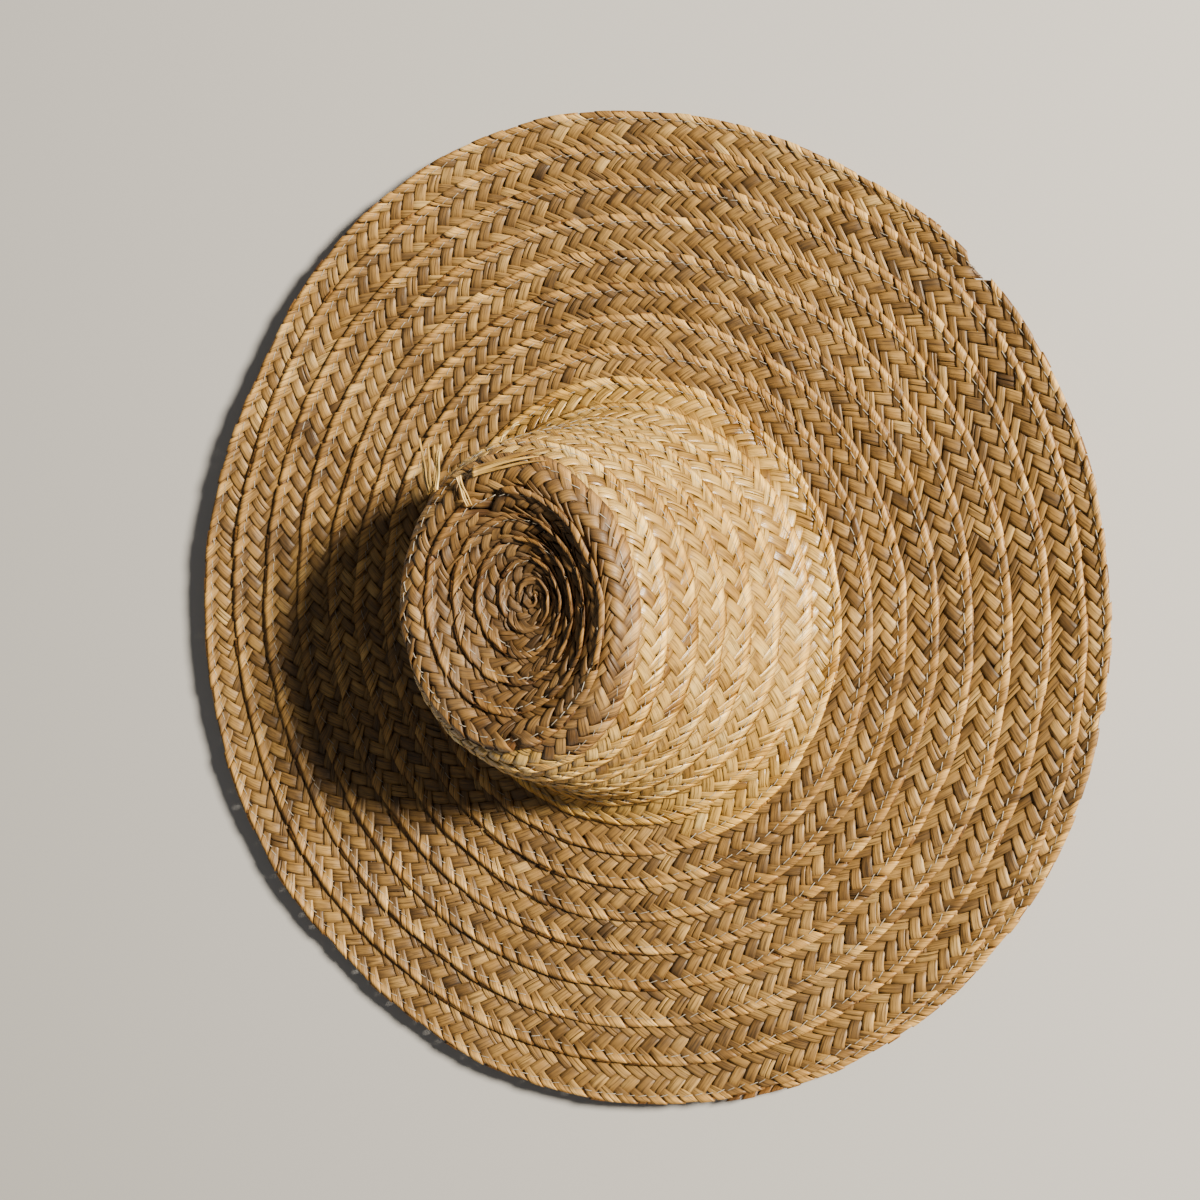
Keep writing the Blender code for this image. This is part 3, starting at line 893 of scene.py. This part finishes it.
def make_light():
    world = bpy.data.worlds.new("studio")
    bpy.context.scene.world = world
    world.use_nodes = True
    background = world.node_tree.nodes["Background"]
    background.inputs[0].default_value = WORLD_COLOUR
    background.inputs[1].default_value = WORLD_STRENGTH
    rise = math.radians(KEY_RISE)
    turned = math.radians(KEY_TURNED)
    level = math.cos(rise)
    key_from = Vector((level * math.cos(turned), level * math.sin(turned), math.sin(rise)))
    area_light("key", key_from * KEY_AWAY, KEY_AIM, KEY_SIZE, KEY_POWER, KEY_COLOUR)


# --- assembly ------------------------------------------------------------------------------
def turn_name(turn):
    if turn < BRIM_TURNS:
        return f"brim_turn_{BRIM_TURNS - turn}"
    if turn < BRIM_TURNS + WALL_TURNS:
        return f"wall_turn_{BRIM_TURNS + WALL_TURNS - turn}"
    if turn < ALL_TURNS - 1:
        return f"tip_turn_{ALL_TURNS - turn}"
    return "tip_coil_start"


def finish_piece(piece, node_name):
    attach(piece, "root")
    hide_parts(node_name)


def main():
    brim = straw_material("straw_brim", STRAW_STOPS, 0.18, 0.50)
    # Painted light: the wall's straw is paler than the brim's.
    wall = straw_material("straw_wall", WALL_STOPS, 0.06, 0.30)
    # Partly painted shade: the tip's straw is darker than the brim's.
    tip = straw_material("straw_tip", TIP_STOPS, 0.30, 0.55)
    # The loose straws take the wall's paler ramp, painted light included.
    loose = straw_material("straw_loose", WALL_STOPS, 0.0, 0.45)
    thread = thread_material("thread")
    for turn in range(ALL_TURNS):
        zone, material = ("brim", brim) if turn < BRIM_TURNS else ("wall", wall)
        if turn >= BRIM_TURNS + WALL_TURNS:
            zone, material = "tip", tip
        node_name = turn_name(turn)
        piece = plaited_turn(f"plait_{node_name}", turn, material)
        finish_piece(piece, node_name)
    seams = {
        "seam_thread_brim": (0, BRIM_TURNS),
        "seam_thread_wall": (BRIM_TURNS, BRIM_TURNS + WALL_TURNS),
        "seam_thread_tip": (BRIM_TURNS + WALL_TURNS, ALL_TURNS - 1),
    }
    for seed, (node_name, (first, last)) in enumerate(seams.items()):
        piece = stitches(f"stitches_{node_name}", first, last, 300 + seed, thread)
        finish_piece(piece, node_name)
    for node_name, (start, end, bow, width) in LOOSE_STRAWS.items():
        piece = loose_straw(f"splinter_{node_name}", start, end, bow, width, loose)
        finish_piece(piece, node_name)
    make_floor()
    make_light()
    make_camera()


main()
